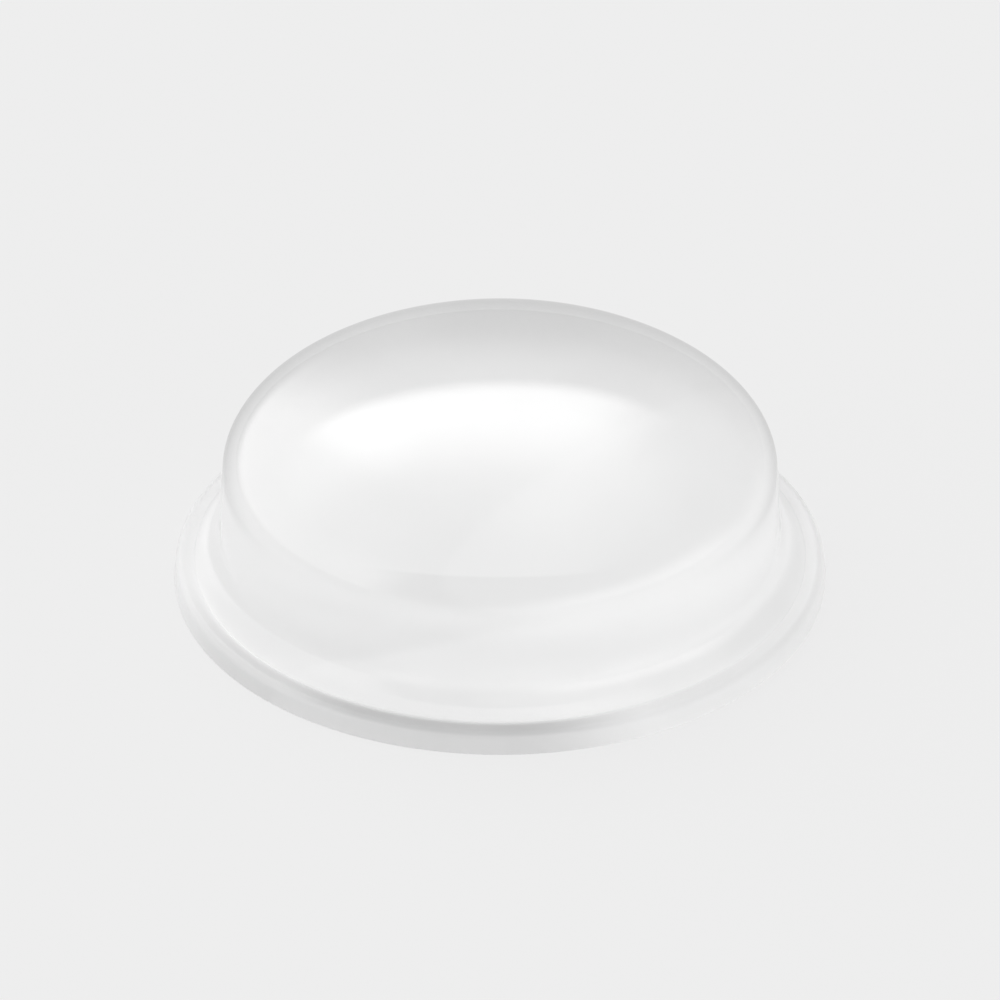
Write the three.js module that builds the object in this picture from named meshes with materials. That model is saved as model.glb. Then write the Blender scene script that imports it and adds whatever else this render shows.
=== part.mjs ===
// Self-adhesive cabinet door bumper: one clear, soft polyurethane moulding.
// A low dome stands on a thin round foot with a rolled-over lip.
// Units are millimetres and +Z is up. The origin is the centre of the flat, sticky underside.

import * as THREE from "three";

// Foot: the disc that carries the adhesive and stands out round the dome
const footThickness = 0.7;
const footReach = 1.3; // how far the foot stands out beyond the foot of the dome's side
const edgeLean = THREE.MathUtils.degToRad(5); // draft of the foot's edge, which is widest at the underside
const lipRadius = 0.25; // rounding from the foot's edge over to its top

// Dome: a short drafted side below a flattened crown
const domeDiameter = 16.4; // measured where the side would meet the top of the foot
const rootFilletRadius = 1; // hollow sweep from the foot up into the side
const sideDraft = THREE.MathUtils.degToRad(2.5); // lets the dome leave its mould
const sideRise = 3; // from the top of the foot to the crown's widest level
const crownRise = 2.9; // from the crown's widest level to the top of the bumper

// Facets
const chordError = 0.004; // the most that a facet may cut inside a round stretch of the outline
const segmentsRound = 96;

// How many straight steps keep an arc of this radius and sweep within the chord error
function arcSteps(radius, sweep) {
  const oneStep = 2 * Math.acos(1 - chordError / radius);
  return Math.max(2, Math.ceil(Math.abs(sweep) / oneStep));
}

// Points of a circular arc in the outline's plane, where x is the radius and y is the height
function arcPoints(centreX, centreY, radius, from, to) {
  const turnsClockwise = to < from;
  const arc = new THREE.EllipseCurve(centreX, centreY, radius, radius, from, to, turnsClockwise);
  return arc.getPoints(arcSteps(radius, to - from));
}

// The edge of the foot, from the underside up and over its rounded lip to the top of the foot
function footEdge(baseRadius) {
  const lipCentreY = footThickness - lipRadius;
  // The lip is tangent to the leaning edge, so its centre lies one lip radius inside that line.
  const edgeRadiusAtLip = baseRadius - lipCentreY * Math.tan(edgeLean);
  const lipCentreX = edgeRadiusAtLip - lipRadius / Math.cos(edgeLean);
  const lip = arcPoints(lipCentreX, lipCentreY, lipRadius, edgeLean, Math.PI / 2);
  return [new THREE.Vector2(baseRadius, 0), ...lip];
}

// The hollow fillet between the top of the foot and the drafted side of the dome
function rootFillet(domeRadius, innerLipRadius) {
  const upwards = 1 - Math.sin(sideDraft); // how high a fillet of radius 1 climbs the side
  const sideways = upwards / Math.cos(sideDraft); // and how far it reaches out over the foot
  const widestFit = (innerLipRadius - domeRadius) / sideways;
  const tallestFit = sideRise / upwards;
  const radius = Math.min(rootFilletRadius, widestFit, tallestFit);
  const centreX = domeRadius + radius * sideways;
  return arcPoints(centreX, footThickness + radius, radius, 1.5 * Math.PI, Math.PI + sideDraft);
}

// The crown: a quarter ellipse, entered where its slope equals the side's draft
function crown(domeRadius) {
  const widestY = footThickness + sideRise;
  const slope = Math.tan(sideDraft);
  const sideRadiusAtWidest = domeRadius - sideRise * slope;
  // For an ellipse to touch the side's line, its half width follows from its rise and the draft.
  const halfWidth = Math.sqrt(sideRadiusAtWidest ** 2 - (crownRise * slope) ** 2);
  const enter = Math.atan2(crownRise * slope, halfWidth);
  const ellipse = new THREE.EllipseCurve(0, widestY, halfWidth, crownRise, enter, Math.PI / 2, false);
  // The ellipse is tightest at the shoulder, so its steps follow the rounding there.
  const shoulderRadius = crownRise ** 2 / halfWidth;
  return ellipse.getPoints(2 * arcSteps(shoulderRadius, Math.PI / 2));
}

// Half of the bumper's section, from the axis at the underside round to the axis at the crown
function outline() {
  const domeRadius = domeDiameter / 2;
  const edge = footEdge(domeRadius + footReach);
  const innerLipRadius = edge.at(-1).x;
  const points = [
    new THREE.Vector2(0, 0),
    ...edge,
    ...rootFillet(domeRadius, innerLipRadius),
    ...crown(domeRadius),
  ];
  points.at(-1).x = 0; // closes the crown exactly on the axis
  return points;
}

function makeBumper() {
  const geometry = new THREE.LatheGeometry(outline(), segmentsRound);
  geometry.rotateX(Math.PI / 2); // the lathe turns about +Y, and the bumper stands on +Z
  const clearPolyurethane = new THREE.MeshStandardMaterial({
    color: 0xf6f7f7,
    roughness: 0.08,
    metalness: 0,
    transparent: true,
    opacity: 0.4,
  });
  const mesh = new THREE.Mesh(geometry, clearPolyurethane);
  mesh.name = "bumper";
  return mesh;
}

const cabinetDoorBumper = new THREE.Group();
cabinetDoorBumper.name = "cabinet_door_bumper";
cabinetDoorBumper.add(makeBumper());

export default cabinetDoorBumper;
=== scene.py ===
import math

import bpy
import numpy as np
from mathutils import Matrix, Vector


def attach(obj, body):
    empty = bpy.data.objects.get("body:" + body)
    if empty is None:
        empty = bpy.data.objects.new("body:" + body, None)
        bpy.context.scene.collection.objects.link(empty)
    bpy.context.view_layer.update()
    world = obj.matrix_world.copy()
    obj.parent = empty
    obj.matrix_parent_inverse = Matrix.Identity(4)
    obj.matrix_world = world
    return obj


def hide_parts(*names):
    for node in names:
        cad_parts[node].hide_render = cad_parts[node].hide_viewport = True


# A clear polyurethane door bumper, dressed over its CAD frame.
# The camera looks along +Y, so "behind" is +Y and "left" is -X.
# The dictionaries are in millimetres and degrees, and Blender is in metres.

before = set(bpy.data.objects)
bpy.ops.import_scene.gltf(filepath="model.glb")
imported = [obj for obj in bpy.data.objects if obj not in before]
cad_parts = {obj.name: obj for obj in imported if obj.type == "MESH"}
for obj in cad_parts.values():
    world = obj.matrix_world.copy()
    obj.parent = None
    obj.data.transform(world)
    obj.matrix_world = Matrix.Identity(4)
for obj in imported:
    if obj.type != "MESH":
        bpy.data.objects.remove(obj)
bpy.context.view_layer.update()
mm = 0.001


# small helpers

def linearFromHex(code):
    # sRGB hex to the linear values that Blender's sockets take, with full alpha
    channels = [int(code[i:i + 2], 16) / 255 for i in (1, 3, 5)]
    linear = [c / 12.92 if c <= 0.04045 else ((c + 0.055) / 1.055) ** 2.4 for c in channels]
    return (*linear, 1.0)


def addNode(tree, kind, settings=None, inputs=None):
    # one node with its settings; each input takes a plain value, or the output that it is linked from
    node = tree.nodes.new(kind)
    for name, value in (settings or {}).items():
        setattr(node, name, value)
    for name, value in (inputs or {}).items():
        if isinstance(value, bpy.types.NodeSocket):
            tree.links.new(value, node.inputs[name])
        else:
            node.inputs[name].default_value = value
    return node


# Settings that several nodes take.
# A colour Mix has its factor at input 0, its two colours at inputs 6 and 7 and its result at output 2.
smooth = {"interpolation_type": "SMOOTHSTEP"}
mixed = {"data_type": "RGBA"}


def newMaterial(name):
    # a material whose node tree is empty, and that tree
    material = bpy.data.materials.new(name)
    material.use_nodes = True
    material.node_tree.nodes.clear()
    return material, material.node_tree


def newPiece(name, points, quads, triangles):
    # a smooth-shaded object at the origin, from points in millimetres, with its place in its mesh
    mesh = bpy.data.meshes.new(name)
    mesh.from_pydata((points * mm).tolist(), [], quads.tolist() + triangles.tolist())
    mesh.polygons.foreach_set("use_smooth", np.ones(len(mesh.polygons), bool))
    mesh.update()
    piece = bpy.data.objects.new(name, mesh)
    bpy.context.scene.collection.objects.link(piece)
    return piece


# the moulding: dome and foot, one surface

moulding = {
    "footRadius": 9.5,         # at the underside, where the edge is widest
    "footThickness": 0.7,
    "edgeLean": 5.0,           # degrees that the foot's edge leans inwards going up
    "underEdgeRadius": 0.04,   # no knife edge at the underside
    "lipRadius": 0.25,
    "domeRadius": 8.2,         # where the side would meet the foot
    "rootFillet": 1.0,
    "sideDraft": 2.5,          # degrees
    "sideRise": 3.0,
    "crownRise": 2.9,
    "pointsRound": 288,
    # points along each stretch of the section
    "pointsBase": 40,
    "pointsUnderEdge": 8,
    "pointsEdge": 6,
    "pointsLip": 20,
    "pointsRoot": 24,
    "pointsSide": 14,
    "pointsCrown": 90,
    "sinkDepth": 0.010,        # how far the cooled skin pulls in from the true form, at most
    "sinkSpacing": 5.5,        # between one shallow hollow and the next
    "sinkWaves": (             # direction of each crossing wave along X, Y and Z, and its phase in radians
        (0.83, 0.41, 0.0, 0.7),
        (-0.36, 0.92, 1.3, 2.1),
        (0.57, -0.66, 0.9, 4.4),
    ),
}


def arc(centreR, centreZ, radius, fromDegrees, toDegrees, count):
    # the centre plus the radius times the cosine and sine of even turns, both end points included
    turn = np.radians(np.linspace(fromDegrees, toDegrees, count))
    return np.stack([centreR + radius * np.cos(turn), centreZ + radius * np.sin(turn)], axis=1)


def between(start, end, count):
    # even steps along the straight line from start to end, both end points left out
    return start + np.linspace(0, 1, count)[1:-1, None] * (end - start)


def insideEdge(m, radius, height):
    # How far from the axis a round's centre lies when it touches the leaning edge from inside: the edge's own
    # distance at that height, less the round's radius over the cosine of the lean.
    lean = math.radians(m["edgeLean"])
    return m["footRadius"] - height * math.tan(lean) - radius / math.cos(lean)


def mouldingSection(m):
    # Half of the section, from the axis at the underside round to the axis at the crown: a flat base, a small
    # round, a leaning edge, a rolled lip, a hollow fillet, the drafted side and a quarter ellipse.
    under, lip, fillet = m["underEdgeRadius"], m["lipRadius"], m["rootFillet"]
    underCentreR = insideEdge(m, under, under)
    base = np.zeros((m["pointsBase"] - 1, 2))
    base[:, 0] = np.linspace(0, underCentreR, m["pointsBase"])[:-1]
    underRound = arc(underCentreR, under, under, -90, m["edgeLean"], m["pointsUnderEdge"])
    lipCentreZ = m["footThickness"] - lip
    lipRound = arc(insideEdge(m, lip, lipCentreZ), lipCentreZ, lip, m["edgeLean"], 90, m["pointsLip"])
    edge = between(underRound[-1], lipRound[0], m["pointsEdge"])

    draft = math.radians(m["sideDraft"])
    filletCentreR = m["domeRadius"] + fillet * (1 - math.sin(draft)) / math.cos(draft)
    filletCentreZ = m["footThickness"] + fillet
    root = arc(filletCentreR, filletCentreZ, fillet, 270, 180 + m["sideDraft"], m["pointsRoot"])

    # the ellipse is entered where its slope is the side's, so its half width follows from its rise
    widestZ = m["footThickness"] + m["sideRise"]
    sideAtWidest = m["domeRadius"] - m["sideRise"] * math.tan(draft)
    halfWidth = math.sqrt(sideAtWidest ** 2 - (m["crownRise"] * math.tan(draft)) ** 2)
    enter = math.atan2(m["crownRise"] * math.tan(draft), halfWidth)
    turn = np.linspace(enter, math.pi / 2, m["pointsCrown"])
    crown = np.stack([halfWidth * np.cos(turn), widestZ + m["crownRise"] * np.sin(turn)], axis=1)
    crown[-1, 0] = 0
    side = between(root[-1], crown[0], m["pointsSide"])
    return np.concatenate([base, underRound, edge, lipRound, root, side, crown])


def revolved(section, around):
    # grid point (i, j) = section point i turned by 2 pi j / around; each pole is one shared point
    turn = 2 * np.pi * np.arange(around) / around
    rings = section[1:-1]
    x = rings[:, :1] * np.cos(turn)
    y = rings[:, :1] * np.sin(turn)
    z = np.broadcast_to(rings[:, 1:], x.shape)
    bottom, top = [[0, 0, section[0, 1]]], [[0, 0, section[-1, 1]]]
    points = np.concatenate([bottom, np.stack([x, y, z], axis=2).reshape(-1, 3), top])

    here = np.arange(around)
    beside = (here + 1) % around
    start = 1 + around * np.arange(len(rings) - 1)[:, None]
    quads = np.stack([start + here, start + beside, start + around + beside, start + around + here], axis=2)
    lastRing = 1 + around * (len(rings) - 1)
    lower = np.stack([np.zeros(around, int), 1 + beside, 1 + here], axis=1)
    upper = np.stack([np.full(around, len(points) - 1), lastRing + here, lastRing + beside], axis=1)
    return points, quads.reshape(-1, 4), np.concatenate([lower, upper])


def sinkMarks(points, m):
    # Shallow hollows of a cooled moulding: the mean of three crossing sine waves, scaled to run from 0 to 1,
    # times sinkDepth and a smooth fade from none at the foot's top to all at the crown.
    waves = np.array(m["sinkWaves"])
    phase = points @ waves[:, :3].T * (2 * np.pi / m["sinkSpacing"]) + waves[:, 3]
    hollow = 0.5 + 0.5 * np.sin(phase).mean(axis=1)
    rise = np.clip((points[:, 2] - m["footThickness"]) / (m["sideRise"] + m["crownRise"]), 0, 1)
    return m["sinkDepth"] * hollow * rise ** 2 * (3 - 2 * rise)


def makeMoulding(m):
    # the revolved section, each point moved by its sink mark straight towards the middle of the foot's top
    points, quads, triangles = revolved(mouldingSection(m), m["pointsRound"])
    inwards = np.array([0, 0, m["footThickness"]]) - points
    inwards /= np.linalg.norm(inwards, axis=1, keepdims=True)
    points = points + inwards * sinkMarks(points, m)[:, None]
    return newPiece("bumper_moulding", points, quads, triangles)


# the moulding's material

polyurethane = {
    "tint": "#ffffff",
    "roughness": 0.02,
    "ior": 1.5,
    "sideRoughness": 0.18,     # the mould is polished at the crown only, and a little satin round the side
    "satinBelow": 3.9,
    "polishedAbove": 4.9,
    # the foot's edge, greyed with painted shade: each pair of heights is where something begins and where it
    # is full
    "edgeShadeTint": "#dddddd",
    "edgeRoughness": 0.4,
    "edgeTransmission": 0.6,
    "clearFrom": 0.70,         # past the lip it clears, over the first rise of the fillet
    "clearTo": 0.75,
    "greyTowards": (-0.44, -0.90, 0),   # the side of the edge with the most painted shade, the front-left
    "greyFrom": 0.58,          # cosines of the angle from that side: least shaded, and fully grey
    "greyTo": 0.89,
    "greyLeast": 0.25,         # how grey the painted shade is on the least shaded side
    "grainSize": 0.12,         # drawn about three times as coarse as it is, so that it shows
    "grainDepth": 0.004,
    # the short stretch of the edge's lip at the front that is painted darkest, a painted shadow line
    "lipShadeTint": "#c0c0c0",
    "lipFrom": 0.56,           # the edge darkens over the lip's round
    "lipTo": 0.67,
    "darkTowards": (-0.10, -0.995, 0),  # the middle of that stretch
    "darkFrom": 0.78,          # cosines of the angle from there: as the edge, and darkest
    "darkTo": 0.96,
    # painted rim shade on the crown, where it is seen almost edge on
    "rimShadeTint": "#707070",     # what the painted shade lets through where the crown is seen almost edge on
    "rimShadeFrom": 0.46,          # 1 minus the cosine of the angle of view: it begins to show, and shows fully
    "rimShadeTo": 1.0,
    "rimShadeCrownFrom": 3.2,           # the painted shade is on the crown and not on the side: none below, all above
    "rimShadeCrownTo": 4.4,
}


def clearCastPolyurethane(p):
    # Soft clear polyurethane from a polished mould: wet-looking gloss, and the table seen bent through it.
    # The foot's edge is matt and greyed with painted shade, most on the front-left, and darkest along a short
    # stretch of its lip at the front, a painted shadow line, which draws a soft grey band there.
    # Painted shade greys the clear crown where it is seen almost edge on.
    material, tree = newMaterial("clear_cast_polyurethane")
    place = addNode(tree, "ShaderNodeTexCoord").outputs["Object"]
    height = addNode(tree, "ShaderNodeSeparateXYZ", inputs={"Vector": place}).outputs["Z"]

    # the level direction from the axis, compared with the most shaded side and with the lip's darkest stretch
    flat = addNode(tree, "ShaderNodeVectorMath", {"operation": "MULTIPLY"}, {
        0: place, 1: (1, 1, 0)}).outputs["Vector"]
    outwards = addNode(tree, "ShaderNodeVectorMath", {"operation": "NORMALIZE"}, {
        0: flat}).outputs["Vector"]
    towardsGrey = addNode(tree, "ShaderNodeVectorMath", {"operation": "DOT_PRODUCT"}, {
        0: outwards, 1: p["greyTowards"]}).outputs["Value"]
    towardsDark = addNode(tree, "ShaderNodeVectorMath", {"operation": "DOT_PRODUCT"}, {
        0: outwards, 1: p["darkTowards"]}).outputs["Value"]
    # painted shade on the foot's edge, strongest towards the front-left
    shadedSide = addNode(tree, "ShaderNodeMapRange", smooth, {
        "Value": towardsGrey, "From Min": p["greyFrom"], "From Max": p["greyTo"],
        "To Min": p["greyLeast"]}).outputs["Result"]
    # painted shadow line along the lip, darkest at the front
    darkest = addNode(tree, "ShaderNodeMapRange", smooth, {
        "Value": towardsDark, "From Min": p["darkFrom"], "From Max": p["darkTo"]}).outputs["Result"]

    # how far a point is onto the edge, onto its lip and onto the crown's painted rim shade
    edgeHeight = addNode(tree, "ShaderNodeMapRange", smooth, {
        "Value": height, "From Min": p["clearTo"] * mm, "From Max": p["clearFrom"] * mm}).outputs["Result"]
    lipHeight = addNode(tree, "ShaderNodeMapRange", smooth, {
        "Value": height, "From Min": p["lipFrom"] * mm, "From Max": p["lipTo"] * mm}).outputs["Result"]
    # where the edge's painted shade lies; the same mask makes the edge less clear
    grey = addNode(tree, "ShaderNodeMath", {"operation": "MULTIPLY"}, {0: edgeHeight, 1: shadedSide}).outputs[0]
    # where the lip's painted shadow line lies
    dark = addNode(tree, "ShaderNodeMath", {"operation": "MULTIPLY"}, {0: lipHeight, 1: darkest}).outputs[0]
    # painted rim shade: darker where the crown is seen almost edge on
    facing = addNode(tree, "ShaderNodeLayerWeight", inputs={"Blend": 0.5}).outputs["Facing"]
    edgeOn = addNode(tree, "ShaderNodeMapRange", smooth, {
        "Value": facing, "From Min": p["rimShadeFrom"], "From Max": p["rimShadeTo"]}).outputs["Result"]
    crownHeight = addNode(tree, "ShaderNodeMapRange", smooth, {
        "Value": height, "From Min": p["rimShadeCrownFrom"] * mm, "From Max": p["rimShadeCrownTo"] * mm}).outputs["Result"]
    rimShade = addNode(tree, "ShaderNodeMath", {"operation": "MULTIPLY"}, {0: edgeOn, 1: crownHeight}).outputs[0]

    # the colour: the edge's painted shade, darker along the lip's painted shadow line
    edge = addNode(tree, "ShaderNodeMix", mixed, {
        0: dark, 6: linearFromHex(p["edgeShadeTint"]), 7: linearFromHex(p["lipShadeTint"])}).outputs[2]
    body = addNode(tree, "ShaderNodeMix", mixed, {
        0: grey, 6: linearFromHex(p["tint"]), 7: edge}).outputs[2]
    # the crown's painted rim shade, multiplied over the rest
    rimShadeColour = addNode(tree, "ShaderNodeMix", mixed, {
        0: rimShade, 6: (1, 1, 1, 1), 7: linearFromHex(p["rimShadeTint"])}).outputs[2]
    colour = addNode(tree, "ShaderNodeMix", {**mixed, "blend_type": "MULTIPLY"}, {
        0: 1, 6: body, 7: rimShadeColour}).outputs[2]

    gloss = addNode(tree, "ShaderNodeMapRange", smooth, {
        "Value": height, "From Min": p["satinBelow"] * mm, "From Max": p["polishedAbove"] * mm,
        "To Min": p["sideRoughness"], "To Max": p["roughness"]}).outputs["Result"]
    roughness = addNode(tree, "ShaderNodeMapRange", inputs={
        "Value": edgeHeight, "To Min": gloss, "To Max": p["edgeRoughness"]}).outputs["Result"]
    transmission = addNode(tree, "ShaderNodeMapRange", inputs={
        "Value": grey, "To Min": 1.0, "To Max": p["edgeTransmission"]}).outputs["Result"]
    grain = addNode(tree, "ShaderNodeTexNoise", inputs={
        "Vector": place, "Scale": 1 / (p["grainSize"] * mm), "Detail": 2}).outputs["Fac"]
    bump = addNode(tree, "ShaderNodeBump", inputs={
        "Strength": edgeHeight, "Distance": p["grainDepth"] * mm, "Height": grain}).outputs["Normal"]
    shader = addNode(tree, "ShaderNodeBsdfPrincipled", inputs={
        "Base Color": colour,
        "Roughness": roughness,
        "IOR": p["ior"],
        "Transmission Weight": transmission,
        "Normal": bump,
    })
    addNode(tree, "ShaderNodeOutputMaterial", inputs={"Surface": shader.outputs["BSDF"]})
    return material


# the adhesive on the underside

adhesive = {
    "coatedBelow": 0.0001,     # the coat is on the faces whose middle lies lower than this
    "tint": "#ffffff",
    "roughness": 0.5,
    "ior": 1.04,               # as if stuck down, so it bends light far less than an open face would
    "patchTint": "#f2f2f2",    # the grey of the soft patches
    "cloudSize": 6,
    "cloudSeed": 3.9,          # which patches: the fourth coordinate of the noise
    "cloudFrom": 0.35,         # values of the noise: clear, and fully grey
    "cloudTo": 0.65,
}


def acrylicAdhesive(p):
    # A rolled coat of clear acrylic glue. It is never optically flat, so the table and its light blur through
    # it, and its colour is faintly greyer in soft patches.
    material, tree = newMaterial("acrylic_adhesive")
    place = addNode(tree, "ShaderNodeTexCoord").outputs["Object"]
    noise = addNode(tree, "ShaderNodeTexNoise", {"noise_dimensions": "4D"}, {
        "Vector": place, "W": p["cloudSeed"], "Scale": 1 / (p["cloudSize"] * mm), "Detail": 2}).outputs["Fac"]
    cloud = addNode(tree, "ShaderNodeMapRange", smooth, {
        "Value": noise, "From Min": p["cloudFrom"], "From Max": p["cloudTo"]}).outputs["Result"]
    colour = addNode(tree, "ShaderNodeMix", mixed, {
        0: cloud, 6: linearFromHex(p["tint"]), 7: linearFromHex(p["patchTint"])}).outputs[2]
    shader = addNode(tree, "ShaderNodeBsdfPrincipled", inputs={
        "Base Color": colour,
        "Roughness": p["roughness"],
        "IOR": p["ior"],
        "Transmission Weight": 1.0,
    })
    addNode(tree, "ShaderNodeOutputMaterial", inputs={"Surface": shader.outputs["BSDF"]})
    return material


def coatUnderside(piece, p):
    # the faces of the flat underside take the piece's second material, the adhesive
    faces = piece.data.polygons
    middles = np.empty(len(faces) * 3)
    faces.foreach_get("center", middles)
    isCoated = middles[2::3] < p["coatedBelow"] * mm
    faces.foreach_set("material_index", isCoated.astype(np.int32))


# the table

table = {
    "size": 3000,
    "drop": 0.03,              # below the underside, so that the two faces don't fight
    "colour": "#484848",
    "roughness": 0.9,
    "glow": 0.79,              # the light that comes up through it
}


def makeTable(t):
    # Opal acrylic lit from below: pale and even, with almost no shadow under what stands on it.
    half, z = t["size"] / 2, -t["drop"]
    corners = np.array([[-half, -half, z], [half, -half, z], [half, half, z], [-half, half, z]])
    floor = newPiece("floor", corners, np.array([[0, 1, 2, 3]]), np.zeros((0, 3), int))
    material, tree = newMaterial("opal_acrylic_table")
    shader = addNode(tree, "ShaderNodeBsdfPrincipled", inputs={
        "Base Color": linearFromHex(t["colour"]),
        "Roughness": t["roughness"],
        "Specular IOR Level": 0.0,
        "Emission Color": (1, 1, 1, 1),
        "Emission Strength": t["glow"],
    })
    addNode(tree, "ShaderNodeOutputMaterial", inputs={"Surface": shader.outputs["BSDF"]})
    floor.data.materials.append(material)


# the room and its lights

studio = {
    "roomRadiance": 0.15,      # the dim walls all round
    # Each edge of a light is a pair of angles: where it is dark, and where it is fully lit.
    # An azimuth turns from straight behind the bumper, and the left is negative. No light's azimuths reach
    # straight in front of the bumper, where the angle jumps from 180 to -180.
    # The table's glow fades into the dim walls as it rises.
    "hazeAbove": (18, 0),
    "hazeRadiance": 0.5,
    # The overhead bank is measured from straight above, along the view (front is negative) and across it.
    "bankFront": (-28, -24),
    "bankBack": (62, 36),
    "bankMiddle": -6,          # its middle stands a little to the left of the bumper
    "bankAside": (50, 14),
    "bankRadiance": 1.2,
    # The soft panel behind the bumper.
    "panelBelow": (30, 35),
    "panelAbove": (60, 39),
    "panelAzimuth": -4,
    "panelAside": (30, 10),
    "panelRadiance": 2.6,
    # The white wall at the left, which the dome's left side mirrors. It fades out towards the table.
    "wallBelow": (0, 10),
    "wallAbove": (66, 34),
    "wallAzimuth": -75,
    "wallAside": (65, 48),
    "wallRadiance": 1.5,
    # A low fill in front at the right, which only the foot's edge and the dome's side mirror.
    "fillAbove": (32, 12),
    "fillAzimuth": 122,
    "fillAside": (56, 22),
    "fillRadiance": 1.4,
}


def makeRoom(s):
    # A dim room with a glow on the horizon, a bank overhead, a panel behind, a white wall and a low fill.
    world = bpy.data.worlds.new("studio_room")
    world.use_nodes = True
    tree = world.node_tree
    tree.nodes.clear()
    direction = addNode(tree, "ShaderNodeTexCoord").outputs["Generated"]
    x, y, z = addNode(tree, "ShaderNodeSeparateXYZ", inputs={"Vector": direction}).outputs
    elevation = addNode(tree, "ShaderNodeMath", {"operation": "ARCSINE"}, {0: z}).outputs[0]
    azimuth = addNode(tree, "ShaderNodeMath", {"operation": "ARCTAN2"}, {0: x, 1: y}).outputs[0]
    along = addNode(tree, "ShaderNodeMath", {"operation": "ARCTAN2"}, {0: y, 1: z}).outputs[0]
    across = addNode(tree, "ShaderNodeMath", {"operation": "ARCTAN2"}, {0: x, 1: z}).outputs[0]

    # A light is its radiance times a soft step over each of its edges.
    # Where an edge has a middle, its angle is the distance from there.
    lights = [
        (s["hazeRadiance"], [
            (elevation, None, s["hazeAbove"])]),
        (s["bankRadiance"], [
            (along, None, s["bankFront"]), (along, None, s["bankBack"]),
            (across, s["bankMiddle"], s["bankAside"])]),
        (s["panelRadiance"], [
            (elevation, None, s["panelBelow"]), (elevation, None, s["panelAbove"]),
            (azimuth, s["panelAzimuth"], s["panelAside"])]),
        (s["wallRadiance"], [
            (elevation, None, s["wallBelow"]), (elevation, None, s["wallAbove"]),
            (azimuth, s["wallAzimuth"], s["wallAside"])]),
        (s["fillRadiance"], [
            (elevation, None, s["fillAbove"]), (azimuth, s["fillAzimuth"], s["fillAside"])]),
    ]
    total = s["roomRadiance"]
    for radiance, edges in lights:
        light = radiance
        for angle, middle, (dark, lit) in edges:
            if middle is not None:
                offset = addNode(tree, "ShaderNodeMath", {"operation": "SUBTRACT"}, {
                    0: angle, 1: math.radians(middle)}).outputs[0]
                angle = addNode(tree, "ShaderNodeMath", {"operation": "ABSOLUTE"}, {0: offset}).outputs[0]
            step = addNode(tree, "ShaderNodeMapRange", smooth, {
                "Value": angle, "From Min": math.radians(dark),
                "From Max": math.radians(lit)}).outputs["Result"]
            light = addNode(tree, "ShaderNodeMath", {"operation": "MULTIPLY"}, {0: step, 1: light}).outputs[0]
        total = addNode(tree, "ShaderNodeMath", {"operation": "ADD"}, {0: total, 1: light}).outputs[0]
    background = addNode(tree, "ShaderNodeBackground", inputs={"Color": (1, 1, 1, 1), "Strength": total})
    addNode(tree, "ShaderNodeOutputWorld", inputs={"Surface": background.outputs["Background"]})
    bpy.context.scene.world = world


# the camera

camera = {
    "tilt": 32.8,              # degrees above the table, at which the foot's rim has the photograph's ellipse
    "distance": 490,           # a long lens from half a metre keeps the photograph's flat perspective
    "widthInFrame": 29.1,      # what the frame spans at the bumper
    "aimHeight": 2.6,          # the point on the bumper's axis that the frame is centred on
    "sensorWidth": 36,
    "clipNear": 10,
    "clipFar": 10000,
}


def makeCamera(c):
    # A lens whose frame spans widthInFrame at its distance from the bumper, looking down at it by the tilt.
    data = bpy.data.cameras.new("camera")
    data.sensor_width = c["sensorWidth"]
    data.lens = c["sensorWidth"] * c["distance"] / c["widthInFrame"]
    data.clip_start = c["clipNear"] * mm
    data.clip_end = c["clipFar"] * mm
    eye = bpy.data.objects.new("camera", data)
    bpy.context.scene.collection.objects.link(eye)
    tilt = math.radians(c["tilt"])
    back = Vector((0, -math.cos(tilt), math.sin(tilt)))
    eye.location = Vector((0, 0, c["aimHeight"] * mm)) + back * c["distance"] * mm
    eye.rotation_euler = back.to_track_quat("Z", "Y").to_euler()
    bpy.context.scene.camera = eye


bumper = makeMoulding(moulding)
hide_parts("bumper")
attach(bumper, "root")
print("moulding:", len(bumper.data.polygons), "faces")

bumper.data.materials.append(clearCastPolyurethane(polyurethane))
bumper.data.materials.append(acrylicAdhesive(adhesive))
coatUnderside(bumper, adhesive)
print("finishes:", ", ".join(bumper.data.materials.keys()))

makeTable(table)
makeRoom(studio)
makeCamera(camera)
bpy.context.scene.view_settings.view_transform = "Standard"
print("table, room and camera ready")
